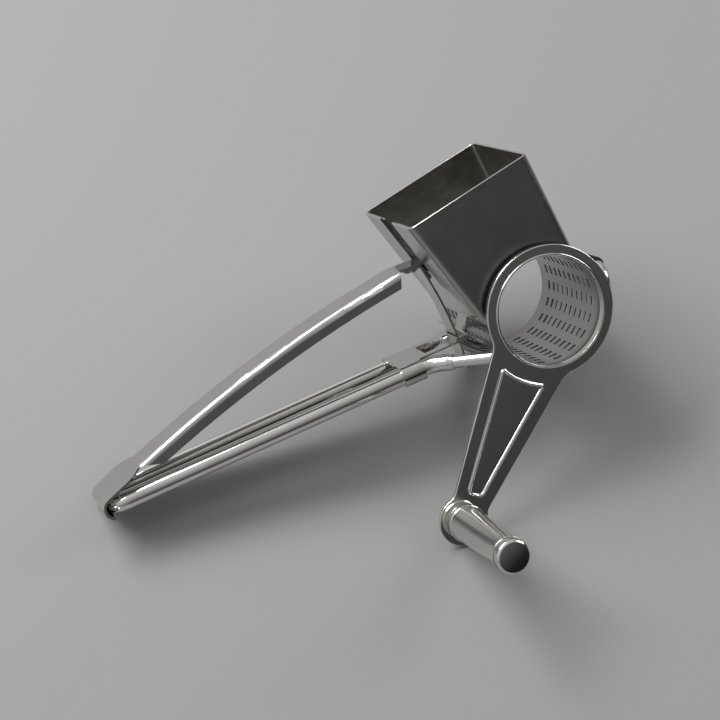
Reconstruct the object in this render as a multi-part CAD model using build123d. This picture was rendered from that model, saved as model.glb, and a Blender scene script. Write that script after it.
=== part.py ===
"""A hand-held rotary grater of stamped stainless steel: a hopper over a perforated drum, a cranked arm that
turns the drum, and a lever that presses the food down on it. Lengths are in mm and angles in degrees."""
from build123d import *
from math import asin, acos, atan2, cos, degrees, hypot, radians, sin, sqrt
import os

# The pieces are drawn in the tool's working position and laid down together at the end:
# the drum turns about Y with the crank at its -Y end, X runs to the front and Z runs up the hopper.

# --- gaps between pieces -----------------------------------------------------------------------
running_gap = 0.4        # between a turning or sliding piece and what it passes
hinge_gap = 0.15         # between the lever's curl and the tube that it turns on
pin_gap = 0.05           # around a pin, a rivet or a tube that is pushed into another
bench = 400.0            # longer than any piece, for cutting tools that run right through

# --- perforated drum ---------------------------------------------------------------------------
drum_outer_r = 22.4
drum_wall = 0.6
drum_far_y = 30.5
drum_lip_depth = 0.7     # the far edge is rolled inwards by this much
flange_near_y = -32.2
flange_outer_r = 25.2
hole_rows = 20
holes_per_row = 10
hole_pitch = 4.9         # along the drum
hole_length = 2.3        # around the drum
hole_width = 1.5
tooth_height = 0.45
tooth_length = 0.9

# --- crank arm ---------------------------------------------------------------------------------
crank_sheet = 1.2
crank_front_y = -34.1
crank_ring_r = 25.3
crank_bore_r = 21.0
collar_depth = 2.7
crank_length = 85.7
crank_angle = 216.3      # from +X towards +Z, as it hangs when the tool is laid down
arm_wide_half = 14.6     # half the arm's width where it leaves the ring
arm_wide_at = 27.0
arm_narrow_half = 7.6
arm_narrow_at = 77.0
arm_end_r = 9.8
arm_root_fillet = 9.0
arm_end_fillet = 5.0
bead_root_half = 9.0     # the pressed bead is a triangle with a hollow top edge
bead_tip_half = 2.7
bead_from = 28.5
bead_to = 75.0
bead_width = 1.3
bead_height = 0.45

# --- crank knob --------------------------------------------------------------------------------
knob_end_y = -87.5
spindle_r = 2.5
spindle_head_r = 4.6
spindle_head = 1.3
washer_r = 7.0
washer_thickness = 0.9
collar_r = 6.3
collar_thickness = 1.5
sleeve_foot_r = 7.3
sleeve_waist_r = 6.0
sleeve_end_r = 6.7
sleeve_shoulder = 2.2
sleeve_flare = 3.0
sleeve_wall = 0.9
bush_length = 4.0
retainer_r = 3.9
retainer_thickness = 1.2
cap_r = 6.5
cap_thickness = 4.4
cap_edge = 0.8
cap_groove = 0.5
cap_plug_length = 2.6

# --- hopper ------------------------------------------------------------------------------------
hopper_sheet = 1.0
hopper_half_depth = 29.3
hopper_top_z = 55.0
hopper_low_z = 8.0
hopper_back_top_x = -30.7
hopper_back_lean = 0.1468
hopper_front_top_x = 22.5
hopper_front_lean = 0.0395
hopper_bend = 3.0
slot_width = 14.5
slot_low_z = 29.0
arch_r = 30.0
arch_centre_z = -5.0
hook_root_z = 12.6
hook_half_width = 21.0
hook_wrap = 130.0        # how far the hook goes round the cradle's cross-bar

# --- guide plate behind the hopper's slotted wall, with the foot that holds the hopper ------------
guide_sheet = 0.8
guide_low_z = 7.4
guide_bend = 1.2
guide_tab_half = 5.2
foot_half = 9.4

# --- handle tube, a long U laid back from the drum ---------------------------------------------------
hinge_x = -175.5
hinge_z = 22.5
tube_r = 3.25
tube_wall = 0.7
tube_half_spacing = 10.0
tube_corner_r = 6.6
tube_slope = 9.63        # the handle drops towards the drum
tube_straight = 132.5    # along the handle, from the hinge to where the tube swerves outwards
tube_swerve_length = 9.5
tube_swerve_bend = 9.0
crimp_length = 2.4
crimp_wall = 0.25

# --- cradle wire under the drum -------------------------------------------------------------------
wire_r = 2.5
wire_plug = 9.0          # how far the wire goes into each tube end, past the swerve
cradle_half_depth = 28.0
cradle_gap = 0.3
cradle_back_angle = 202.0
cradle_front_angle = 339.0
cradle_lead = 4.0
cradle_bend = 6.0
cradle_rise = 10.4

# --- saddle plate over both tubes -----------------------------------------------------------------
saddle_sheet = 0.8
saddle_from = 119.5      # along the handle, from the hinge
saddle_flange_to = 128.5
saddle_to = 150.0
saddle_web_half = 9.8
saddle_wrap = 172.0      # how far each flange goes round its tube
window_from = 132.2
window_half = 6.2
window_straight = 2.1
eyelet_at = 143.3
eyelet_flange_r = 2.2
eyelet_shank_r = 1.5
eyelet_hole_r = 1.0
eyelet_flange = 0.5
tongue_r = 2.9

# --- pressing lever -------------------------------------------------------------------------------
lever_sheet = 0.9
lever_half = 8.5
lever_edge_bend = 2.5
lever_flange = 5.8
lever_arc_r = 532.4
lever_arc_x = -66.3
lever_crown_z = 38.1
lever_from_x = -160.0
lever_to_x = -37.0
lever_cut_slant = 3.2
lever_flange_run = 9.0
leaf_half = 13.0
leaf_shoulder = 4.5
curl_to = 248.0
neck_half = 5.5
neck_low_x = -24.0
neck_end_x = -4.0
neck_bend = 2.0

# --- slot shutter under the lever's neck ------------------------------------------------------------
shutter_sheet = 0.8
shutter_r = 147.0        # about the hinge, so that it slides past the slot as the lever rises
shutter_low_z = -11.0
shutter_half = 5.5
shutter_flange = 7.0
shutter_bend = 1.0

# --- pusher inside the hopper -------------------------------------------------------------------------
pusher_sheet = 1.0
pusher_half = 27.0
pusher_back_r = 151.0
pusher_front_r = 194.0
pusher_top_z = 33.4
pusher_face_r = 23.8
pusher_rim_drop = 5.0
rivet_r = 1.4
rivet_head_r = 2.5
rivet_head = 0.8
pusher_rivet_xs = (-19.0, -9.0)

# --- the lying position: tipped over on to the handle's end, the crank's tip and the cradle
lying_pitch = -19.38     # about Y
lying_roll = -40.55      # then about X
lying_yaw = -7.9         # then about Z, which brings the handle in line with X

# --- derived places -----------------------------------------------------------------------------------
drum_inner_r = drum_outer_r - drum_wall
crank_back_y = crank_front_y + crank_sheet
wall_cut_r = drum_outer_r + running_gap
crank_pin = (crank_length * cos(radians(crank_angle)), crank_length * sin(radians(crank_angle)))
cradle_r = drum_outer_r + cradle_gap + wire_r
hinge = (hinge_x, hinge_z)
curl_inner_r = tube_r + hinge_gap
curl_outer_r = curl_inner_r + lever_sheet
lever_arc_z = lever_crown_z - lever_arc_r
saddle_top = tube_r + pin_gap + saddle_sheet


def at_y(y):
    """The XZ plane at one depth, seen from the crank's side."""
    return Plane(origin=(0, y, 0), x_dir=(1, 0, 0), z_dir=(0, -1, 0))


def slab(outline, y_from, y_to):
    """A side outline, drawn in X and Z, made solid between two depths."""
    return extrude(at_y(y_from) * outline, amount=y_to - y_from, dir=(0, 1, 0))


def flat(*corners):
    """A face with straight sides, facing up whichever way round its corners are given."""
    return make_face(Polyline(*corners, close=True))


def ring(inner_r, outer_r):
    return Circle(outer_r) - Circle(inner_r)


def from_angle(angle):
    return Vector(cos(radians(angle)), sin(radians(angle)))


def sector(centre, radius, start, end):
    """A pie slice, from start to end, less than half a turn."""
    tip = Vector(*centre)
    first = tip + from_angle(start) * radius
    middle = tip + from_angle((start + end) / 2) * radius
    last = tip + from_angle(end) * radius
    return make_face(Line(tip, first) + ThreePointArc(first, middle, last) + Line(last, tip))


def band(corners, thickness):
    """A straight strip of sheet between two points, with its thickness on the left of the way."""
    start, end = (Vector(*corner) for corner in corners)
    way = (end - start).normalized()
    across = Vector(-way.Y, way.X) * thickness
    return flat(start, end, end + across, start + across)


def bent_sheet(points, thickness, bend):
    """The side outline of a bent sheet. The points run along its right face; bend is the inside radius."""
    points = [Vector(*point) for point in points]
    ways = [(b - a).normalized() for a, b in zip(points, points[1:])]
    lefts = [Vector(-way.Y, way.X) for way in ways]
    far = [points[0] + lefts[0] * thickness]
    right_radii = []
    left_radii = []
    for point, before, after, way, turned in zip(points[1:], lefts, lefts[1:], ways, ways[1:]):
        far.append(point + (before + after) * (thickness / (1 + before.dot(after))))
        turns_left = way.cross(turned).Z > 0
        right_radii.append(bend + thickness if turns_left else bend)
        left_radii.append(bend if turns_left else bend + thickness)
    far.append(points[-1] + lefts[-1] * thickness)
    near_side = FilletPolyline(*points, radius=right_radii)
    far_side = FilletPolyline(*far, radius=left_radii)
    return make_face(near_side + far_side + Line(points[0], far[0]) + Line(points[-1], far[-1]))


def on_handle(along, above=0.0):
    """X and Z of a place given along the handle from the hinge, and above the tube's centre line."""
    slope = radians(tube_slope)
    x = hinge_x + along * cos(slope) + above * sin(slope)
    z = hinge_z - along * sin(slope) + above * cos(slope)
    return x, z


def handle_frame():
    """Carries a shape drawn with X along the handle, from the hinge, to its place."""
    return Pos(hinge_x, 0, hinge_z) * Rot(0, tube_slope, 0)


def mirrored(shape):
    return mirror(shape, about=Plane.XZ)


# --- drum ----------------------------------------------------------------------------------------------

def grating_drum():
    """The perforated drum, with a flange at the crank and a rolled lip at its far end."""
    flange_far_y = flange_near_y + drum_wall
    drum = slab(ring(drum_inner_r, drum_outer_r), flange_near_y, drum_far_y)
    drum += slab(ring(drum_inner_r, flange_outer_r), flange_near_y, flange_far_y)
    drum += slab(ring(drum_inner_r - drum_lip_depth, drum_outer_r), drum_far_y - drum_wall, drum_far_y)
    hole_end = hole_length / 2
    root_r = drum_outer_r - drum_wall / 2
    tooth_side = flat((root_r, hole_end), (root_r, hole_end + tooth_length),
                         (drum_outer_r + tooth_height, hole_end))
    tooth = slab(tooth_side, -hole_width / 2, hole_width / 2)
    hole_plane = Plane(origin=(drum_inner_r - drum_wall, 0, 0), x_dir=(0, 0, 1), z_dir=(1, 0, 0))
    hole = extrude(hole_plane * SlotOverall(hole_length, hole_width), amount=3 * drum_wall)
    first_y = (flange_far_y + drum_far_y - (holes_per_row - 1) * hole_pitch) / 2
    places = [Rot(0, 360 * row / hole_rows, 0) * Pos(0, first_y + step * hole_pitch, 0)
              for row in range(hole_rows) for step in range(holes_per_row)]
    drum += [place * tooth for place in places]
    return drum - [place * hole for place in places]


# --- crank ---------------------------------------------------------------------------------------------

def crank_outline():
    """The ring and the tapering arm, along +X."""
    taper = (arm_wide_half - arm_narrow_half) / (arm_narrow_at - arm_wide_at)
    root_half = arm_wide_half + taper * arm_wide_at
    end_half = arm_narrow_half - taper * (crank_length - arm_narrow_at)
    arm = flat((0, root_half), (crank_length, end_half), (crank_length, -end_half), (0, -root_half))
    return Circle(crank_ring_r) + arm + Pos(crank_length, 0) * Circle(arm_end_r)


def corners_on(plate, centre_x, radius):
    """The upright edges where the arm's straight sides run into a round of the plate."""
    upright = plate.edges().filter_by(Axis.Z)
    return upright.filter_by(lambda edge: 0 < (edge @ 0.5).X < crank_length
                             and abs(hypot((edge @ 0.5).X - centre_x, (edge @ 0.5).Y) - radius) < pin_gap)


def bead_outline(grow):
    """The bead's triangle, grown by some amount all round; its top edge follows the ring."""
    top_r = bead_from
    root_x = sqrt(top_r ** 2 - bead_root_half ** 2)
    corners = [(0, -bead_root_half), (0, bead_root_half), (root_x, bead_root_half),
               (bead_to, bead_tip_half), (bead_to, -bead_tip_half), (root_x, -bead_root_half)]
    panel = flat(*corners) - Circle(top_r)
    panel = fillet(panel.vertices(), radius=bead_width)
    return offset(panel, amount=grow)


def crank_arm():
    """The stamped ring and arm. The collar in its bore is pressed into the drum."""
    outer = extrude(crank_outline(), amount=crank_sheet)
    outer = fillet(corners_on(outer, 0, crank_ring_r), radius=arm_root_fillet)
    outer = fillet(corners_on(outer, crank_length, arm_end_r), radius=arm_end_fillet)
    outer = fillet(outer.edges().group_by(Axis.Z)[-1], radius=crank_sheet / 3)
    bead = extrude(bead_outline(bead_width / 2) - bead_outline(-bead_width / 2), amount=bead_height)
    outer += Pos(0, 0, crank_sheet) * bead
    outer -= bead
    # drawn flat with its front upwards, then stood up and turned to its angle
    plate = Pos(0, crank_back_y, 0) * Rot(0, -crank_angle, 0) * Rot(90, 0, 0) * outer
    collar_r = drum_inner_r - pin_gap
    plate += slab(Circle(collar_r), crank_back_y, crank_front_y + collar_depth)
    plate -= slab(Circle(crank_bore_r), crank_front_y, crank_front_y + collar_depth)
    pin_hole = Pos(*crank_pin) * Circle(spindle_r + pin_gap)
    return plate - slab(pin_hole, crank_front_y, crank_back_y)


def knob_solid(points):
    """A turned piece of the knob. Each point is a radius and a depth along Y."""
    profile = flat(*points)
    turned = revolve(Plane.XY * profile, axis=Axis.Y)
    return Pos(crank_pin[0], 0, crank_pin[1]) * turned


def knob_profiles():
    """The spindle riveted through the arm, and the hollow sleeve that turns on it."""
    head_y = crank_back_y + spindle_head
    washer_y = crank_front_y - washer_thickness
    collar_y = washer_y - collar_thickness
    foot_y = collar_y - pin_gap
    cap_foot_y = knob_end_y + cap_thickness
    sleeve_end_y = cap_foot_y + pin_gap
    outer_bush_y = cap_foot_y + cap_plug_length + retainer_thickness + 2 * running_gap
    tip_y = outer_bush_y - running_gap - retainer_thickness
    sleeve_bore_r = sleeve_waist_r - sleeve_wall
    hole_r = spindle_r + pin_gap
    flare_y = sleeve_end_y + sleeve_flare

    spindle = [(0, head_y), (spindle_head_r, head_y - spindle_head / 2), (spindle_head_r, crank_back_y),
               (spindle_r, crank_back_y), (spindle_r, tip_y), (0, tip_y)]
    washer = [(hole_r, crank_front_y), (washer_r, crank_front_y), (washer_r, washer_y), (hole_r, washer_y)]
    collar = [(hole_r, washer_y), (collar_r, washer_y), (collar_r, collar_y), (hole_r, collar_y)]
    sleeve = [(sleeve_bore_r, foot_y), (sleeve_waist_r, foot_y),
              (sleeve_foot_r, foot_y - sleeve_shoulder / 2),
              (sleeve_foot_r, foot_y - sleeve_shoulder), (sleeve_waist_r, flare_y),
              (sleeve_end_r, sleeve_end_y + cap_edge), (sleeve_end_r, sleeve_end_y),
              (sleeve_bore_r, sleeve_end_y)]
    inner_bush = [(hole_r, foot_y), (sleeve_bore_r, foot_y), (sleeve_bore_r, foot_y - bush_length),
                  (hole_r, foot_y - bush_length)]
    outer_bush = [(hole_r, outer_bush_y), (sleeve_bore_r, outer_bush_y),
                  (sleeve_bore_r, outer_bush_y + bush_length), (hole_r, outer_bush_y + bush_length)]
    retainer = [(hole_r, tip_y), (retainer_r, tip_y), (retainer_r, tip_y + retainer_thickness),
                (hole_r, tip_y + retainer_thickness)]
    plug_r = sleeve_bore_r - pin_gap
    cap = [(0, knob_end_y), (cap_r - cap_edge, knob_end_y), (cap_r, knob_end_y + cap_edge),
           (cap_r, cap_foot_y - cap_groove), (plug_r, cap_foot_y - cap_groove),
           (plug_r, cap_foot_y + cap_plug_length), (0, cap_foot_y + cap_plug_length)]
    return {"knob_spindle": spindle, "knob_washer": washer, "knob_collar": collar, "knob_sleeve": sleeve,
            "knob_inner_bush": inner_bush, "knob_outer_bush": outer_bush, "knob_retainer": retainer,
            "knob_end_cap": cap}


# --- hopper --------------------------------------------------------------------------------------------

def back_x(z, depth=0.0):
    """X of the hopper's leaning wall at one height, some depth in from its outer face."""
    return hopper_back_top_x + (hopper_top_z - z) * hopper_back_lean + depth * hypot(1, hopper_back_lean)


def front_x(z, depth=0.0):
    """X of the hopper's front wall at one height, some depth in from its outer face."""
    return hopper_front_top_x - (hopper_top_z - z) * hopper_front_lean - depth * hypot(1, hopper_front_lean)


def hopper_block(depth, low, high, corner_r):
    """The hopper as one block, drawn in by some depth, with rounded upright edges."""
    outline = flat((back_x(low, depth), low), (front_x(low, depth), low),
                      (front_x(high, depth), high), (back_x(high, depth), high))
    block = slab(outline, depth - hopper_half_depth, hopper_half_depth - depth)
    upright = block.edges().filter_by(lambda edge: abs(edge.tangent_at(0.5).Z) > 0.9)
    return fillet(upright, radius=corner_r)


def hopper_hook():
    """The strip below the front wall that is curled over the cradle's cross-bar."""
    bar = Vector(*cross_bar_centre())
    inner_r = wire_r + hinge_gap
    outer_r = inner_r + hopper_sheet
    root = Vector(front_x(hook_root_z), hook_root_z)
    to_bar = bar - root
    way = degrees(atan2(to_bar.Y, to_bar.X) + asin(outer_r / to_bar.length))
    normal = from_angle(way + 90)
    wall_face = Vector(front_x(hook_root_z, hopper_sheet), hook_root_z)
    strip = flat(root, bar + normal * outer_r, bar + normal * inner_r, root - normal * hopper_sheet,
                    wall_face)
    curl = Pos(bar.X, bar.Y) * ring(inner_r, outer_r)
    curl &= sector(bar, 2 * outer_r, way + 90 - hook_wrap, way + 90)
    return slab(strip + curl, -hook_half_width, hook_half_width)


def hopper_shell():
    """Four walls in one sheet. The leaning wall is slotted for the lever and ends in an arch."""
    shell = hopper_block(0.0, hopper_low_z, hopper_top_z, hopper_bend)
    shell -= hopper_block(hopper_sheet, hopper_low_z - hopper_sheet, hopper_top_z + hopper_sheet,
                          hopper_bend - hopper_sheet)
    inside_x = back_x(hopper_low_z, hopper_sheet)
    arch = Pos(inside_x - bench / 2, 0, arch_centre_z) * Rot(0, 90, 0) * Cylinder(arch_r, bench)
    arch_crown_z = arch_centre_z + arch_r
    slot = Pos(inside_x - bench / 2, 0, arch_crown_z - hopper_bend + bench / 2)
    slot *= Box(bench, slot_width, bench)
    below_front = Pos(bench / 2, 0, hook_root_z - bench / 2)
    below_front *= Box(bench, 2 * (hopper_half_depth - hopper_bend), bench)
    shell -= [arch, slot, below_front]
    shell -= slab(Circle(wall_cut_r), -bench, bench)
    return shell + hopper_hook()


def guide_plate():
    """The inner plate that lines the slotted wall. Its tab bends into a foot that lies on the saddle."""
    depth = hopper_sheet + pin_gap
    top_z = hopper_top_z - hopper_sheet
    foot_face = saddle_top + guide_sheet
    foot_tip = on_handle(eyelet_at - tongue_r, foot_face)
    foot_root = on_handle(saddle_to, foot_face)
    outline = bent_sheet([(back_x(top_z, depth), top_z), (back_x(guide_low_z, depth), guide_low_z),
                          foot_root, foot_tip], guide_sheet, guide_bend)
    plate_half = hopper_half_depth - hopper_bend
    plate = slab(outline, -plate_half, plate_half)
    beside_tab = slab(Pos(foot_root[0] + bench / 2, guide_low_z - bench / 2) * Rectangle(bench, bench),
                      guide_tab_half, bench)
    slot = Pos(foot_root[0], 0, slot_low_z + bench / 2) * Box(bench, slot_width, bench)
    plate -= [beside_tab, mirrored(beside_tab), slot, shutter_path()]
    foot_plan = flat((bench, foot_half), (eyelet_at + tongue_r / 2, foot_half), (eyelet_at, tongue_r),
                        (eyelet_at, -tongue_r), (eyelet_at + tongue_r / 2, -foot_half),
                        (bench, -foot_half))
    foot_plan += Pos(eyelet_at, 0) * Circle(tongue_r)
    foot_plan -= Pos(eyelet_at, 0) * Circle(eyelet_shank_r + pin_gap)
    around = Pos(saddle_to - bench / 2, 0) * Rectangle(bench, bench) - foot_plan
    foot_waste = handle_frame() * Pos(0, 0, tube_r) * extrude(around, amount=tube_r)
    return plate - foot_waste


# --- handle and cradle ----------------------------------------------------------------------------------

def cradle_point(angle, side):
    place = from_angle(angle) * cradle_r
    return Vector(place.X, side * cradle_half_depth, place.Y)


def cradle_way(angle):
    way = from_angle(angle + 90)
    return Vector(way.X, 0, way.Y)


def handle_point(along, side):
    x, z = on_handle(along)
    return Vector(x, side * tube_half_spacing, z)


def swerve_points(side):
    """Where one side of the handle turns outwards, and where it turns down into the cradle."""
    leave = handle_point(tube_straight, side)
    meet = cradle_point(cradle_back_angle, side) - cradle_way(cradle_back_angle) * cradle_lead
    return leave, meet


def handle_tube():
    """One tube bent into a U, with both ends swerved outwards and crimped on to the cradle wire."""
    points = []
    ends = []
    for side in (-1, 1):
        leave, meet = swerve_points(side)
        way = (meet - leave).normalized()
        tip = leave + way * tube_swerve_length
        ends.append(Plane(origin=tip, z_dir=-way))
        points.append([tip, leave, handle_point(0, side)])
    route = points[0] + points[1][::-1]
    path = FilletPolyline(*route, radius=[tube_swerve_bend, tube_corner_r, tube_corner_r, tube_swerve_bend])
    start = Plane(origin=route[0], z_dir=(route[1] - route[0]).normalized())
    tube = sweep(start * ring(tube_r - tube_wall, tube_r), path=path)
    crimp_r = wire_r + pin_gap + crimp_wall
    for end in ends:
        shoulder = Pos(0, 0, crimp_length / 2) * Cone(crimp_r, tube_r, crimp_length)
        sleeve = Pos(0, 0, crimp_length / 2) * Cylinder(2 * tube_r, crimp_length)
        tube -= end * (sleeve - shoulder)
    return tube


def cradle_wire():
    """One wire: it leaves one tube end, passes under the drum, crosses in front and comes back."""
    halves = []
    for side in (-1, 1):
        leave, meet = swerve_points(side)
        approach = FilletPolyline(handle_point(tube_straight - wire_plug, side), leave, meet,
                                  cradle_point(cradle_back_angle, side),
                                  radius=[tube_swerve_bend, cradle_bend])
        middle = (cradle_back_angle + cradle_front_angle) / 2
        under = ThreePointArc(cradle_point(cradle_back_angle, side), cradle_point(middle, side),
                              cradle_point(cradle_front_angle, side))
        halves.append(approach + under)
    bar_x, bar_z = cross_bar_centre()
    front = FilletPolyline(cradle_point(cradle_front_angle, -1), Vector(bar_x, -cradle_half_depth, bar_z),
                           Vector(bar_x, cradle_half_depth, bar_z), cradle_point(cradle_front_angle, 1),
                           radius=cradle_bend)
    path = Wire((halves[0] + front + halves[1]).edges())
    start = handle_point(tube_straight - wire_plug, -1)
    way = (handle_point(tube_straight, -1) - start).normalized()
    return sweep(Plane(origin=start, z_dir=way) * Circle(wire_r), path=path)


# --- saddle ---------------------------------------------------------------------------------------------

def saddle_plate():
    """The plate over both tubes, rolled round them at the back and windowed in front."""
    web = flat((saddle_from, -tube_half_spacing), (saddle_flange_to, -tube_half_spacing),
                  (saddle_flange_to, -saddle_web_half), (saddle_to, -saddle_web_half),
                  (saddle_to, saddle_web_half), (saddle_flange_to, saddle_web_half),
                  (saddle_flange_to, tube_half_spacing), (saddle_from, tube_half_spacing))
    window_centre = window_from + window_straight
    window = Pos(window_centre, 0) * Circle(window_half)
    window += Pos(window_centre - window_half, 0) * Rectangle(2 * window_half, 2 * window_half)
    window &= Pos(window_from + window_half, 0) * Rectangle(2 * window_half, 2 * window_half)
    window = fillet(window.vertices().group_by(Axis.X)[0], radius=saddle_sheet)
    web -= window
    web -= Pos(eyelet_at, 0) * Circle(eyelet_shank_r + pin_gap)
    plate = Pos(0, 0, saddle_top - saddle_sheet) * extrude(web, amount=saddle_sheet)
    roll = ring(saddle_top - saddle_sheet, saddle_top)
    roll &= sector((0, 0), 2 * saddle_top, 90 - saddle_wrap, 90)
    roll_length = saddle_flange_to - saddle_from
    flange = extrude(Plane(origin=(saddle_from, tube_half_spacing, 0), x_dir=(0, 1, 0), z_dir=(1, 0, 0))
                     * roll, amount=roll_length)
    plate += [flange, mirrored(flange)]
    return handle_frame() * plate - shutter_path()


def saddle_eyelet():
    """The hollow rivet that holds the foot on the saddle."""
    low = saddle_top - saddle_sheet - eyelet_flange
    high = saddle_top + guide_sheet
    profile = flat((eyelet_hole_r, low), (eyelet_flange_r, low), (eyelet_flange_r, low + eyelet_flange),
                      (eyelet_shank_r, low + eyelet_flange), (eyelet_shank_r, high), (eyelet_flange_r, high),
                      (eyelet_flange_r, high + eyelet_flange / 2),
                      (eyelet_flange_r - eyelet_flange / 2, high + eyelet_flange),
                      (eyelet_hole_r, high + eyelet_flange))
    eyelet = revolve(Plane.XZ * profile, axis=Axis.Z)
    return handle_frame() * Pos(eyelet_at, 0, 0) * eyelet


# --- lever ----------------------------------------------------------------------------------------------

def lever_point(x, depth=0.0):
    """A place on the lever's arched top, some depth below its top face."""
    return Vector(x, lever_arc_z + sqrt((lever_arc_r - depth) ** 2 - (x - lever_arc_x) ** 2))


def lever_band(top_from, top_to, low_from, low_to, depths):
    """The stretch of the arch between two depths, each with its own ends."""
    shallow, deep = depths
    upper = ThreePointArc(lever_point(top_from, shallow), lever_point((top_from + top_to) / 2, shallow),
                          lever_point(top_to, shallow))
    lower = ThreePointArc(lever_point(low_from, deep), lever_point((low_from + low_to) / 2, deep),
                          lever_point(low_to, deep))
    return make_face(upper + lower + Line(upper @ 0, lower @ 0) + Line(upper @ 1, lower @ 1))


def rounded_along(channel, half, depth, radius):
    """The channel with its two long top edges rounded."""
    reach = lever_arc_r - depth
    edges = []
    for edge in channel.edges():
        place = edge @ 0.5
        from_centre = hypot(place.X - lever_arc_x, place.Z - lever_arc_z)
        if abs(abs(place.Y) - half) < pin_gap and abs(from_centre - reach) < pin_gap:
            edges.append(edge)
    return fillet(edges, radius=radius)


def lever_channel():
    """The arched channel, with the leaf that curls round the handle's end and the neck at its other end."""
    face = lever_band(lever_from_x, lever_to_x,
                      lever_from_x + lever_flange_run, lever_to_x - lever_cut_slant,
                      (0, lever_flange))
    channel = rounded_along(slab(face, -lever_half, lever_half), lever_half, 0, lever_edge_bend)
    inner_half = lever_half - lever_sheet
    beyond = 2 * lever_flange
    hollow_face = lever_band(lever_from_x - beyond, lever_to_x + beyond, lever_from_x - beyond,
                             lever_to_x + beyond, (lever_sheet, 2 * lever_flange))
    hollow = rounded_along(slab(hollow_face, -inner_half, inner_half), inner_half, lever_sheet,
                           lever_edge_bend - lever_sheet)
    channel -= hollow

    root = lever_point(lever_from_x)
    axis = Vector(*hinge)
    to_root = root - axis
    touch = degrees(atan2(to_root.Y, to_root.X) + acos(curl_outer_r / to_root.length))
    normal = from_angle(touch)
    lap = Vector(normal.Y, -normal.X) * lever_sheet
    leaf_side = flat(root + lap, axis + normal * curl_outer_r, axis + normal * curl_inner_r,
                        root + lap - normal * lever_sheet)
    curl = Pos(*hinge) * ring(curl_inner_r, curl_outer_r)
    curl &= sector(hinge, 2 * curl_outer_r, touch, curl_to)
    leaf = slab(leaf_side + curl, -leaf_half, leaf_half)
    shoulder_x = lever_from_x - leaf_shoulder
    lap_half = lever_half - lever_edge_bend
    leaf_plan = flat((hinge_x - leaf_half, leaf_half), (shoulder_x, leaf_half), (lever_from_x, lever_half),
                        (root.X + lap.X, lap_half), (root.X + lap.X, -lap_half), (lever_from_x, -lever_half),
                        (shoulder_x, -leaf_half), (hinge_x - leaf_half, -leaf_half))
    leaf_plan = fillet(leaf_plan.vertices().filter_by(lambda v: abs(v.X - shoulder_x) < pin_gap),
                       radius=leaf_shoulder)
    leaf &= extrude(leaf_plan, amount=bench, both=True)

    neck_side = bent_sheet([lever_point(lever_to_x - lever_sheet, lever_sheet), *neck_line(),
                            (neck_end_x, pusher_top_z)], lever_sheet, neck_bend)
    neck = slab(neck_side, -neck_half, neck_half)
    neck -= [place * rivet_hole() for place in pusher_rivet_places() + shutter_rivet_places()]
    return channel + leaf + neck


def neck_line():
    """The lower face of the sloping stretch of the neck."""
    high = lever_point(lever_to_x, lever_sheet)
    return [(high.X, high.Y), (neck_low_x, pusher_top_z)]


def neck_place(distance):
    """A point on the neck's lower face, some distance behind the shutter's corner, and the way there."""
    high, low = (Vector(*point) for point in neck_line())
    way = (high - low).normalized()
    from_axis = low - Vector(*hinge)
    outer_r = shutter_r + shutter_sheet / 2
    along = from_axis.dot(way)
    to_corner = -along - sqrt(along ** 2 - from_axis.dot(from_axis) + outer_r ** 2)
    return low + way * (to_corner + distance), way


def upright_at(point, way, side_y):
    """Carries a shape drawn about Z to a place on the neck, square to its face."""
    lean = degrees(atan2(way.Y, -way.X))
    return Pos(point.X, side_y, point.Y) * Rot(0, lean, 0)


def shutter_rivet_places():
    point, way = neck_place(shutter_flange / 2)
    return [upright_at(point, way, side * neck_half / 2) for side in (-1, 1)]


def pusher_rivet_places():
    return [Pos(x, 0, pusher_top_z) for x in pusher_rivet_xs]


def rivet_hole():
    """A hole through the neck and what lies under it, about Z."""
    return Cylinder(rivet_r + pin_gap, 2 * (lever_sheet + pusher_sheet))


def slot_shutter():
    """The curved strip that keeps the hopper's slot covered, and its flange under the neck."""
    corner, way = neck_place(0)
    end, way = neck_place(shutter_flange)
    flange = band([corner, end], shutter_sheet)
    low_angle = degrees(asin((shutter_low_z - hinge_z) / shutter_r))
    high_angle = degrees(atan2(corner.Y - hinge_z, corner.X - hinge_x))
    strip = Pos(*hinge) * ring(shutter_r - shutter_sheet / 2, shutter_r + shutter_sheet / 2)
    strip &= sector(hinge, 2 * shutter_r, low_angle, high_angle)
    side = flange + strip
    nearest = side.vertices().sort_by_distance(Vector(corner.X, corner.Y, 0))[0]
    side = fillet(nearest, radius=shutter_bend)
    shutter = slab(side, -shutter_half, shutter_half)
    return shutter - [place * rivet_hole() for place in shutter_rivet_places()]


def rivets(places, upper_thickness, lower_thickness, head):
    """Rivets through two sheets; each place lies on the face where the sheets meet."""
    shank = Pos(0, 0, (upper_thickness - lower_thickness) / 2)
    shank *= Cylinder(rivet_r, upper_thickness + lower_thickness)
    low_head = Pos(0, 0, -lower_thickness - rivet_head / 2) * Cylinder(rivet_head_r, rivet_head)
    rivet = shank + low_head
    if head:
        rivet += Pos(0, 0, upper_thickness + rivet_head / 2) * Cylinder(rivet_head_r, rivet_head)
    return Compound([place * rivet for place in places])


def shutter_path():
    """The space that the shutter sweeps through as the lever turns, with room beside it."""
    room = shutter_sheet / 2 + running_gap
    swept = Pos(*hinge) * ring(shutter_r - room, shutter_r + room)
    return slab(swept, -shutter_half - running_gap, shutter_half + running_gap)


# --- pusher ---------------------------------------------------------------------------------------------

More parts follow.
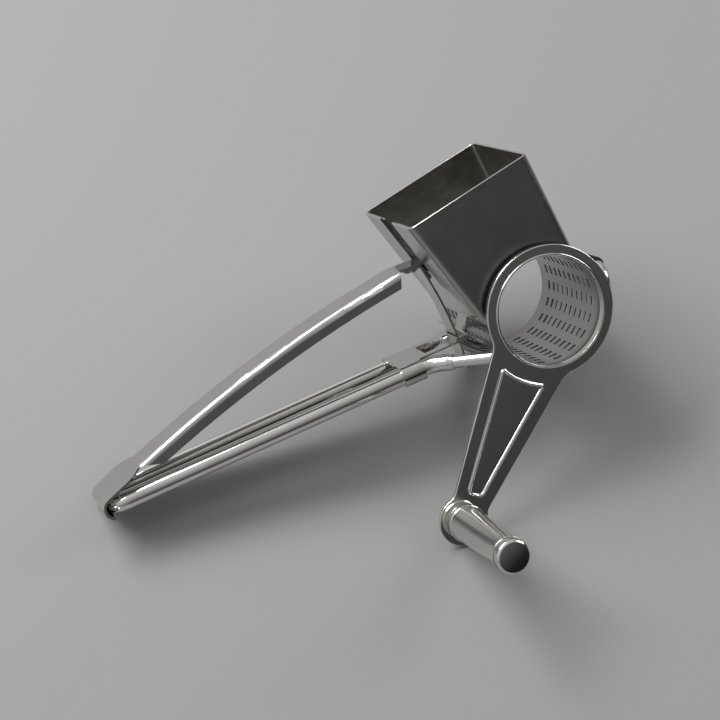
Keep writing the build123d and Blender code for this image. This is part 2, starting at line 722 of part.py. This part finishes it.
def pusher_side(inset, low_z, high_z):
    """The pusher's side outline, drawn in by some inset: it clears the hopper and follows the drum."""
    depth = hopper_sheet + pin_gap + guide_sheet + running_gap + inset
    front = hopper_front_top_x
    lined = flat((back_x(low_z, depth), low_z), (front, low_z), (front, high_z),
                    (back_x(high_z, depth), high_z))
    swept = Pos(*hinge) * ring(pusher_back_r + inset, pusher_front_r - inset)
    return (lined & swept) - Circle(pusher_face_r + inset)


def pusher_shoe():
    """The open box whose hollow floor presses the food on to the drum."""
    shoe_top = pusher_top_z - pusher_sheet
    shoe = slab(pusher_side(0, 0, shoe_top), -pusher_half, pusher_half)
    inner_half = pusher_half - pusher_sheet
    hollow = pusher_side(pusher_sheet, 0, shoe_top + pusher_sheet)
    return shoe - slab(hollow, -inner_half, inner_half)


def pusher_lid():
    """The lid that the lever's neck is riveted to. Its rim fits inside the shoe."""
    shoe_top = pusher_top_z - pusher_sheet
    lid = slab(pusher_side(0, shoe_top, pusher_top_z), -pusher_half, pusher_half)
    rim_inset = pusher_sheet + pin_gap
    rim_low = shoe_top - pusher_rim_drop
    rim = slab(pusher_side(rim_inset, rim_low, shoe_top), rim_inset - pusher_half, pusher_half - rim_inset)
    open_inset = rim_inset + pusher_sheet
    rim -= slab(pusher_side(open_inset, rim_low, shoe_top),
                open_inset - pusher_half, pusher_half - open_inset)
    lid += rim
    return lid - [place * rivet_hole() for place in pusher_rivet_places()]


# --- the whole tool -------------------------------------------------------------------------------------

def cross_bar_centre():
    """X and Z of the cradle's cross-bar, where the wire's front rise ends."""
    start = from_angle(cradle_front_angle) * cradle_r
    end = start + from_angle(cradle_front_angle + 90) * cradle_rise
    return end.X, end.Y


def build_pieces():
    """Every piece in the working position, by name."""
    pieces = {
        "hopper_shell": hopper_shell(),
        "hopper_guide_plate": guide_plate(),
        "handle_tube": handle_tube(),
        "cradle_wire": cradle_wire(),
        "saddle_plate": saddle_plate(),
        "saddle_eyelet": saddle_eyelet(),
        "lever_channel": lever_channel(),
        "slot_shutter": slot_shutter(),
        "shutter_rivets": rivets(shutter_rivet_places(), lever_sheet, shutter_sheet, head=False),
        "pusher_shoe": pusher_shoe(),
        "pusher_lid": pusher_lid(),
        "pusher_rivets": rivets(pusher_rivet_places(), lever_sheet, pusher_sheet, head=True),
        "grating_drum": grating_drum(),
        "crank_arm": crank_arm(),
    }
    for name, profile in knob_profiles().items():
        pieces[name] = knob_solid(profile)
    return pieces


def lay_down(pieces):
    """Tips the whole tool over as it lies on a table, with its box centred over the origin."""
    tip = Rot(0, 0, lying_yaw) * Rot(lying_roll, 0, 0) * Rot(0, lying_pitch, 0)
    tipped = {name: tip * piece for name, piece in pieces.items()}
    box = Compound(list(tipped.values())).bounding_box()
    down = Pos(-box.center().X, -box.center().Y, -box.min.Z)
    return {name: down * piece for name, piece in tipped.items()}


os.makedirs("parts", exist_ok=True)
for name, piece in lay_down(build_pieces()).items():
    export_step(piece, f"parts/{name}.step")
    print(f"{name}: {piece.volume:.1f} mm3")
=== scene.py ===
# %% [markdown]
# # A hand-held rotary grater in stamped stainless steel
# The CAD model brings every pressed plate, rod and bush to its true place. This lesson gives each of them
# the finish of its real steel, remodels the knob and the drum, and photographs the tool as it lies on a
# table.

# %% Load the frame
import math

import bmesh
import bpy
from mathutils import Matrix, Vector


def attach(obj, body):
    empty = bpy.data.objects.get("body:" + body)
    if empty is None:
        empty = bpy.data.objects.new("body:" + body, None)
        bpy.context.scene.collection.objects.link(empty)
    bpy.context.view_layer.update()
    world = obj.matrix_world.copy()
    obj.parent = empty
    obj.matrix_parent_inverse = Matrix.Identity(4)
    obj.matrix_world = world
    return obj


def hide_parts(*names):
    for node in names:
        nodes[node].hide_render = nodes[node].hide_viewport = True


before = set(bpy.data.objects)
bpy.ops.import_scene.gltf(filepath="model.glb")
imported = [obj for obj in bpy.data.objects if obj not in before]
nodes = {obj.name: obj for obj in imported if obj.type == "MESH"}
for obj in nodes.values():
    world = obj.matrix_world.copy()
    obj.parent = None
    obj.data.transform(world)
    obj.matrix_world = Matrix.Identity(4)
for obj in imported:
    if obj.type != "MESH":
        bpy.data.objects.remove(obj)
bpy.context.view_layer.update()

# %% [markdown]
# The tool was drawn upright, with its drum's axis along Y, and then tipped over to lie on the table.
# New pieces are drawn upright too, and this matrix lays them down with the rest.

# %% The lying position
MM = 0.001
yaw = Matrix.Rotation(math.radians(-7.9), 4, "Z")
roll = Matrix.Rotation(math.radians(-40.55), 4, "X")
pitch = Matrix.Rotation(math.radians(-19.38), 4, "Y")
offset = Matrix.Translation(Vector((74.1954, 24.46107, 39.85106)) * MM)
lay_down = offset @ yaw @ roll @ pitch
print("drum centre on the table, mm:", [round(1000 * c, 1) for c in lay_down.translation])

# %% [markdown]
# Colours are written as the hex values that a picture editor shows. Blender mixes light in linear numbers,
# so one function changes them over.


# %% Colour and node helpers
def linear(hex_code):
    parts = [int(hex_code[i:i + 2], 16) / 255 for i in (1, 3, 5)]
    return [p / 12.92 if p <= 0.04045 else ((p + 0.055) / 1.055) ** 2.4 for p in parts] + [1.0]


def add(tree, kind, values=None, links=None, **settings):
    """Adds one node, sets its fields and input values, and links its inputs from other nodes' outputs."""
    node = tree.nodes.new(kind)
    for name, value in settings.items():
        setattr(node, name, value)
    for name, value in (values or {}).items():
        node.inputs[name].default_value = value
    for name, source in (links or {}).items():
        tree.links.new(source, node.inputs[name])
    return node


print("mid grey in linear light:", [round(c, 3) for c in linear("#808080")])

# %% [markdown]
# ## Four finishes of one steel
# Everything here is 18/8 stainless steel. Drawn tube, rod and the crank are polished on a mop: the eye sees
# sharp, dark and bright bands with faint smears from handling. The knob is polished on its lathe, so its
# marks are short and fine. The pressed sheet is finished on a belt before it is stamped: its reflections
# are soft and drawn out by fine lines along the sheet. The deepest pressings, the hopper, the pusher's shoe
# and the drum, are duller, because the die has stretched and blurred those lines. Real belt lines are about
# 0.05 mm apart. They are drawn 0.5 mm apart here, because finer ones fall below one pixel.


# %% The steel finishes
def steel(name, colour, roughness, spread, line_spacing, line_length, relief, anisotropy):
    """A stainless finish. Spacing and length of its lines are in millimetres, in the tool's own axes."""
    material = bpy.data.materials.new(name)
    material.use_nodes = True
    tree = material.node_tree
    tree.nodes.clear()
    coords = add(tree, "ShaderNodeTexCoord")
    upright = lay_down.inverted().to_euler()
    tool_axes = add(tree, "ShaderNodeMapping", {"Rotation": upright}, {"Vector": coords.outputs["Object"]})
    across = 1 / (line_spacing * MM)
    along = 1 / (line_length * MM)
    stretch = add(tree, "ShaderNodeMapping", {"Scale": (along, across, across)},
                  {"Vector": tool_axes.outputs["Vector"]})
    lines = add(tree, "ShaderNodeTexNoise", {"Scale": 1.0, "Detail": 3.0, "Roughness": 0.6},
                {"Vector": stretch.outputs["Vector"]})
    smears = add(tree, "ShaderNodeTexNoise", {"Scale": 1 / (14 * MM), "Detail": 4.0, "Roughness": 0.55},
                 {"Vector": tool_axes.outputs["Vector"]})
    both = add(tree, "ShaderNodeMath", None,
               {0: lines.outputs["Fac"], 1: smears.outputs["Fac"]}, operation="MULTIPLY")
    rough = add(tree, "ShaderNodeMapRange",
                {"From Min": 0.12, "From Max": 0.42,
                 "To Min": roughness - spread, "To Max": roughness + spread},
                {"Value": both.outputs[0]})
    tint = add(tree, "ShaderNodeMapRange",
               {"From Min": 0.35, "From Max": 0.7, "To Min": 0.93, "To Max": 1.0},
               {"Value": smears.outputs["Fac"]})
    base = add(tree, "ShaderNodeMix", {"A": (0, 0, 0, 1), "B": linear(colour)},
               {"Factor": tint.outputs["Result"]}, data_type="RGBA")
    bump = add(tree, "ShaderNodeBump", {"Strength": 0.35, "Distance": relief * MM},
               {"Height": lines.outputs["Fac"]})
    shader = add(tree, "ShaderNodeBsdfPrincipled", {"Metallic": 1.0, "Anisotropic": anisotropy},
                 {"Base Color": base.outputs["Result"], "Roughness": rough.outputs["Result"],
                  "Normal": bump.outputs["Normal"]})
    add(tree, "ShaderNodeOutputMaterial", None, {"Surface": shader.outputs["BSDF"]})
    return material


polished_rod = steel("mop-polished stainless rod", "#e2e0dc", roughness=0.10, spread=0.03,
                     line_spacing=2.0, line_length=40.0, relief=0.0008, anisotropy=0.0)
turned_knob = steel("turned and polished stainless", "#dedcd8", roughness=0.12, spread=0.04,
                    line_spacing=0.6, line_length=0.6, relief=0.0008, anisotropy=0.0)
satin_sheet = steel("belt-finished stainless sheet", "#cfcdc9", roughness=0.17, spread=0.04,
                    line_spacing=0.5, line_length=30.0, relief=0.001, anisotropy=0.35)
drawn_sheet = steel("deep-drawn stainless sheet", "#aeaca8", roughness=0.22, spread=0.05,
                    line_spacing=0.7, line_length=8.0, relief=0.002, anisotropy=0.2)
print("finishes:", [m.name for m in (polished_rod, turned_knob, satin_sheet, drawn_sheet)])

# %% [markdown]
# Each CAD piece takes the finish of the way it was made.

# %% Finishes for the CAD pieces
finishes = {
    polished_rod: ["handle_tube", "cradle_wire", "knob_spindle", "saddle_eyelet", "shutter_rivets",
                   "pusher_rivets", "crank_arm"],
    turned_knob: ["knob_sleeve", "knob_end_cap", "knob_washer", "knob_collar", "knob_inner_bush",
                  "knob_outer_bush", "knob_retainer"],
    satin_sheet: ["lever_channel", "slot_shutter", "pusher_lid", "saddle_plate", "hopper_guide_plate"],
    drawn_sheet: ["hopper_shell", "pusher_shoe", "grating_drum"],
}
for finish, names in finishes.items():
    for name in names:
        mesh = nodes[name].data
        mesh.materials.clear()
        mesh.materials.append(finish)
print("pieces with a finish:", sum(len(names) for names in finishes.values()))

# %% [markdown]
# ## The turned knob
# The knob is a thin sleeve that turns on a pin, closed by a plug. On a lathe it is one outline turned about
# an axis, so here it is one outline spun about that axis. The CAD pieces have nearly the same outline, with
# sharper corners. A real polished knob has no sharp corner, so each edge gets a small bevel, which draws
# the thin bright rings.


# %% A turned piece
def turned(name, outline, centre, steps=96, bevel=0.25):
    """Spins a closed outline of (radius, y) points, in mm, about a line along Y through centre (x, z)."""
    shape = bmesh.new()
    rims = [shape.verts.new((radius * MM, y * MM, 0)) for radius, y in outline]
    edges = [shape.edges.new((a, b)) for a, b in zip(rims, rims[1:] + rims[:1])]
    bmesh.ops.spin(shape, geom=rims + edges, cent=(0, 0, 0), axis=(0, 1, 0), angle=2 * math.pi,
                   steps=steps, use_merge=True, use_duplicate=False)
    bmesh.ops.remove_doubles(shape, verts=shape.verts, dist=0.01 * MM)
    bmesh.ops.dissolve_degenerate(shape, dist=0.005 * MM, edges=shape.edges)
    bmesh.ops.recalc_face_normals(shape, faces=shape.faces)
    corners = [e for e in shape.edges if e.is_manifold and e.calc_face_angle() > math.radians(25)]
    bmesh.ops.bevel(shape, geom=corners, offset=bevel * MM, offset_type="OFFSET", segments=3,
                    profile=0.5, affect="EDGES", material=-1, clamp_overlap=True)
    bmesh.ops.transform(shape, matrix=lay_down @ Matrix.Translation(
        Vector((centre[0], 0, centre[1])) * MM), verts=shape.verts)
    mesh = bpy.data.meshes.new(name)
    shape.to_mesh(mesh)
    shape.free()
    mesh.shade_smooth()
    piece = bpy.data.objects.new(name, mesh)
    bpy.context.scene.collection.objects.link(piece)
    print(name, "faces:", len(mesh.polygons))
    return piece


# %% The knob's sleeve and its end cap
knob_axis = (-69.07, -50.73)
sleeve = turned("knob_sleeve_turned", [
    (5.1, -36.55), (6.0, -36.55), (6.9, -37.0), (7.3, -37.7), (7.3, -38.4), (6.95, -38.9), (6.0, -80.05),
    (6.2, -81.2), (6.7, -82.2), (6.7, -83.05), (5.1, -83.05)], knob_axis, bevel=0.15)
cap = turned("knob_cap_turned", [
    (0.0, -87.5), (5.7, -87.5), (6.5, -86.7), (6.5, -83.6), (5.05, -83.6), (5.05, -80.5), (0.0, -80.5)],
    knob_axis, bevel=0.2)
for piece, node in ((sleeve, "knob_sleeve"), (cap, "knob_end_cap")):
    piece.data.materials.append(turned_knob)
    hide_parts(node)
    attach(piece, "knob")

# %% [markdown]
# ## Bright edges
# The crank is a polished plate that mirrors the dim side of the room, so its flat looks dark. Wherever a
# press has turned the sheet over a small radius, some part of the curve mirrors a lamp: the raised triangle
# on the arm, the lip of the bore and the hopper's rim show as thin bright lines. The triangle is a flat
# outline that is inset in small steps, up and then down again, which leaves a rounded ridge.


# %% A ridge along an outline
def ridge(name, corners, rounding, width, height, place):
    """A rounded ridge along a closed outline of (x, y) points in mm. rounding is (corners, radius)."""
    shape = bmesh.new()
    points = [shape.verts.new((x * MM, y * MM, 0)) for x, y in corners]
    face = shape.faces.new(points)
    face.normal_update()
    if face.normal.z < 0:
        face.normal_flip()
    which, radius = rounding
    bmesh.ops.bevel(shape, geom=[points[i] for i in which], offset=radius * MM, segments=5, profile=0.5,
                    affect="VERTICES", material=-1)
    shape.faces.ensure_lookup_table()
    middle = shape.faces[0]
    slopes = [(0.12, 0.50), (0.18, 0.38), (0.20, 0.12), (0.20, -0.12), (0.18, -0.38), (0.12, -0.50)]
    for part_of_width, part_of_height in slopes:
        bmesh.ops.inset_region(shape, faces=[middle], thickness=part_of_width * width * MM,
                               depth=part_of_height * height * MM, use_even_offset=True, use_boundary=True)
    bmesh.ops.delete(shape, geom=[middle], context="FACES_ONLY")
    bmesh.ops.transform(shape, matrix=place, verts=shape.verts)
    mesh = bpy.data.meshes.new(name)
    shape.to_mesh(mesh)
    shape.free()
    mesh.shade_smooth()
    piece = bpy.data.objects.new(name, mesh)
    bpy.context.scene.collection.objects.link(piece)
    print(name, "faces:", len(mesh.polygons))
    return piece


# %% The raised triangle on the crank's arm
bead_width, bead_height = 1.5, 0.75
top_radius = 28.5 - bead_width / 2
half_turn = math.asin((9.0 + bead_width / 2) / top_radius)
top_edge = [(top_radius * math.cos(half_turn * step / 3), top_radius * math.sin(half_turn * step / 3))
            for step in range(-3, 4)]
tip = [(75.0 + bead_width / 2, 2.7 + bead_width / 2), (75.0 + bead_width / 2, -2.7 - bead_width / 2)]
arm_turn = Matrix.Rotation(math.radians(-216.3), 4, "Y")
arm_front = (lay_down @ Matrix.Translation((0, -32.9 * MM, 0)) @ arm_turn
             @ Matrix.Rotation(math.radians(90), 4, "X") @ Matrix.Translation((0, 0, 1.19 * MM)))
bead = ridge("crank_bead", top_edge + tip, ((0, 6, 7, 8), 2.4), bead_width, bead_height, arm_front)

# %% The bore's polished lip
lip_outline = [(20.95, -34.05), (21.95, -34.05), (21.8, -34.4), (21.4, -34.55), (21.0, -34.4)]
drum_axis = (0, 0)
lip = turned("crank_bore_lip", lip_outline, drum_axis, steps=128, bevel=0.1)
for piece in (bead, lip):
    piece.data.materials.append(polished_rod)
    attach(piece, "crank")

# %% The hopper's rim
rim_corners = [(22.5, -29.3), (22.5, 29.3), (-30.7, 29.3), (-30.7, 7.25), (-30.7, -7.25), (-30.7, -29.3)]
rim_top = lay_down @ Matrix.Translation((0, 0, 54.98 * MM))
rim = ridge("hopper_rim_edge", rim_corners, ((0, 1, 2, 5), 3.0), 0.8, 0.2, rim_top)
rim_shape = bmesh.new()
rim_shape.from_mesh(rim.data)
to_upright = lay_down.inverted()


def over_slot(face):
    middle = (to_upright @ face.calc_center_median()) / MM
    return middle.x < -28 and abs(middle.y) < 7


gap = [face for face in rim_shape.faces if over_slot(face)]
bmesh.ops.delete(rim_shape, geom=gap, context="FACES")
rim_shape.to_mesh(rim.data)
rim_shape.free()
rim.data.materials.append(polished_rod)
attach(rim, "frame")
print("rim faces left after the lever's slot:", len(rim.data.polygons))

# %% [markdown]
# ## The grating drum
# The drum is a drawn tube with twenty rows of ten slots. A punch pushes each slot out from the inside, so
# one edge of it stands up as a tooth. The slots are drawn larger than the CAD drum's, because the dent
# round each one looks like part of it. A wall that is spun in 3 degree steps already has an edge wherever a
# slot begins or ends: the faces of the slots are deleted, and the edge left at one side is pulled up into
# the tooth.

# %% The drum's wall, slots and teeth
drum_radius, drum_wall = 22.4, 0.6
slots_in_row, slot_pitch, row_middle, slot_half_width = 10, 4.9, 0.4, 0.95
spin_step, steps_between_rows, steps_in_slot = 3, 6, 3
tooth_rise, tooth_lean = 0.4, 0.55
first_slot = row_middle - slot_pitch * (slots_in_row - 1) / 2
slot_middles = [first_slot + slot_pitch * number for number in range(slots_in_row)]
stations = [y for middle in slot_middles for y in (middle - slot_half_width, middle + slot_half_width)]
wall_line = [(25.2, -31.6), (23.0, -31.6), (22.55, -31.5), (22.4, -31.1)]
wall_line += [(drum_radius, y) for y in stations + [30.0, 30.5]]
drum_shape = bmesh.new()
line = [drum_shape.verts.new((radius * MM, y * MM, 0)) for radius, y in wall_line]
line_edges = [drum_shape.edges.new(pair) for pair in zip(line, line[1:])]
bmesh.ops.spin(drum_shape, geom=line + line_edges, cent=(0, 0, 0), axis=(0, 1, 0), angle=2 * math.pi,
               steps=360 // spin_step, use_merge=True, use_duplicate=False)
bmesh.ops.recalc_face_normals(drum_shape, faces=drum_shape.faces)


def turned_by(point):
    return math.degrees(math.atan2(-point.z, point.x)) % 360


def beside_slot(point):
    return min(abs(point.y / MM - y) for y in slot_middles)


def in_slot(face):
    middle = face.calc_center_median()
    step = int(turned_by(middle) / spin_step)
    return beside_slot(middle) < slot_half_width and step % steps_between_rows < steps_in_slot


slots = [face for face in drum_shape.faces if in_slot(face)]
bmesh.ops.delete(drum_shape, geom=slots, context="FACES")
tooth_edges = []
for edge in drum_shape.edges:
    middle = (edge.verts[0].co + edge.verts[1].co) / 2
    at_row_start = round(turned_by(middle)) % (spin_step * steps_between_rows) == 0
    if edge.is_boundary and beside_slot(middle) < slot_half_width / 2 and at_row_start:
        tooth_edges.append(edge)
lifted = bmesh.ops.extrude_edge_only(drum_shape, edges=tooth_edges)
for vert in [v for v in lifted["geom"] if isinstance(v, bmesh.types.BMVert)]:
    outwards = Vector((vert.co.x, 0, vert.co.z)).normalized()
    around = Vector((0, 1, 0)).cross(outwards)
    vert.co += (outwards * tooth_rise + around * tooth_lean) * MM
bmesh.ops.solidify(drum_shape, geom=drum_shape.faces, thickness=-drum_wall * MM)
reach = [math.hypot(v.co.x, v.co.z) / MM for v in drum_shape.verts if v.co.y > 25 * MM]
print("slots:", len(slots) // steps_in_slot, "teeth:", len(tooth_edges))
print("wall between radii, mm:", round(min(reach), 2), round(max(reach), 2))
first_row = Matrix.Rotation(math.radians(spin_step * steps_in_slot / 2), 4, "Y")
bmesh.ops.transform(drum_shape, matrix=lay_down @ first_row, verts=drum_shape.verts)
drum_mesh = bpy.data.meshes.new("punched_drum")
drum_shape.to_mesh(drum_mesh)
drum_shape.free()
drum_mesh.shade_smooth()
drum_mesh.set_sharp_from_angle(angle=math.radians(30))
drum_mesh.materials.append(drawn_sheet)
drum = bpy.data.objects.new("punched_drum", drum_mesh)
bpy.context.scene.collection.objects.link(drum)
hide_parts("grating_drum")
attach(drum, "crank")

# %% [markdown]
# ## The table
# A plain pale grey card: one big flat plane under the tool, matt, with a faint tooth so that it isn't one
# even colour.

# %% The table top
floor_mesh = bpy.data.meshes.new("table_top")
shape = bmesh.new()
bmesh.ops.create_grid(shape, x_segments=1, y_segments=1, size=6.0)
shape.to_mesh(floor_mesh)
shape.free()
table_top = bpy.data.objects.new("table_top", floor_mesh)
bpy.context.scene.collection.objects.link(table_top)
matt = bpy.data.materials.new("matt grey card")
matt.use_nodes = True
tree = matt.node_tree
tree.nodes.clear()
coords = add(tree, "ShaderNodeTexCoord")
tooth = add(tree, "ShaderNodeTexNoise", {"Scale": 900.0, "Detail": 2.0},
            {"Vector": coords.outputs["Object"]})
tone = add(tree, "ShaderNodeMix", {"A": linear("#8d8d8d"), "B": linear("#939393")},
           {"Factor": tooth.outputs["Fac"]}, data_type="RGBA")
card = add(tree, "ShaderNodeBsdfPrincipled", {"Roughness": 0.9}, {"Base Color": tone.outputs["Result"]})
add(tree, "ShaderNodeOutputMaterial", None, {"Surface": card.outputs["BSDF"]})
floor_mesh.materials.append(matt)
print("table top:", tuple(table_top.dimensions))

# %% [markdown]
# ## Light
# Polished steel shows the room more than itself, so the room matters: its far left is pale and the side
# behind the camera is dim, which is why the plates that face the camera look almost black. One long soft
# box stands over the far left and a smaller one on the right. The bright bands on the rods are those two.

# %% World and lamps
world = bpy.data.worlds.new("dim studio")
bpy.context.scene.world = world
world.use_nodes = True
tree = world.node_tree
tree.nodes.clear()
direction = add(tree, "ShaderNodeTexCoord")
pale_side = (-0.45, 0.70, 0.55)
towards = add(tree, "ShaderNodeVectorMath", {1: pale_side},
              {0: direction.outputs["Generated"]}, operation="DOT_PRODUCT")
glow = add(tree, "ShaderNodeMapRange", {"From Min": -0.6, "From Max": 0.9, "To Min": 0.012, "To Max": 0.8},
           {"Value": towards.outputs["Value"]})
room = add(tree, "ShaderNodeBackground", {"Color": linear("#f2f2f2")}, {"Strength": glow.outputs["Result"]})
add(tree, "ShaderNodeOutputWorld", None, {"Surface": room.outputs["Background"]})


def soft_box(name, place, aim, width, height, watts):
    lamp = bpy.data.lights.new(name, "AREA")
    lamp.shape = "RECTANGLE"
    lamp.size = width
    lamp.size_y = height
    lamp.energy = watts
    lamp_object = bpy.data.objects.new(name, lamp)
    lamp_object.location = place
    lamp_object.rotation_euler = (Vector(aim) - Vector(place)).to_track_quat("-Z", "Y").to_euler()
    bpy.context.scene.collection.objects.link(lamp_object)
    return lamp_object


soft_box("key_box", (-0.45, 0.62, 0.85), (0.0, 0.0, 0.03), 0.9, 0.45, 14.0)
soft_box("side_box", (0.80, -0.05, 0.55), (0.0, 0.0, 0.03), 0.3, 0.5, 2.5)

# %% [markdown]
# ## The camera
# A long lens from above on the crank's side. Its place and its three axes come from lining up the
# hopper's rim, the drum's circles and the handle with their outlines in the picture.

# %% Camera
camera_data = bpy.data.cameras.new("camera")
camera_data.lens = 105.6
camera_data.sensor_width = 36.0
camera_data.clip_start = 0.01
camera = bpy.data.objects.new("camera", camera_data)
right = Vector((0.88475, -0.46388, 0.04521))
up = Vector((0.34080, 0.71005, 0.61618))
back = right.cross(up)
turn = Matrix((right, up, back)).transposed()
camera.matrix_world = Matrix.Translation((-0.25107, -0.40094, 0.67069)) @ turn.to_4x4()
bpy.context.scene.collection.objects.link(camera)
bpy.context.scene.camera = camera
bpy.context.scene.view_settings.view_transform = "Standard"
print("lens:", camera_data.lens)
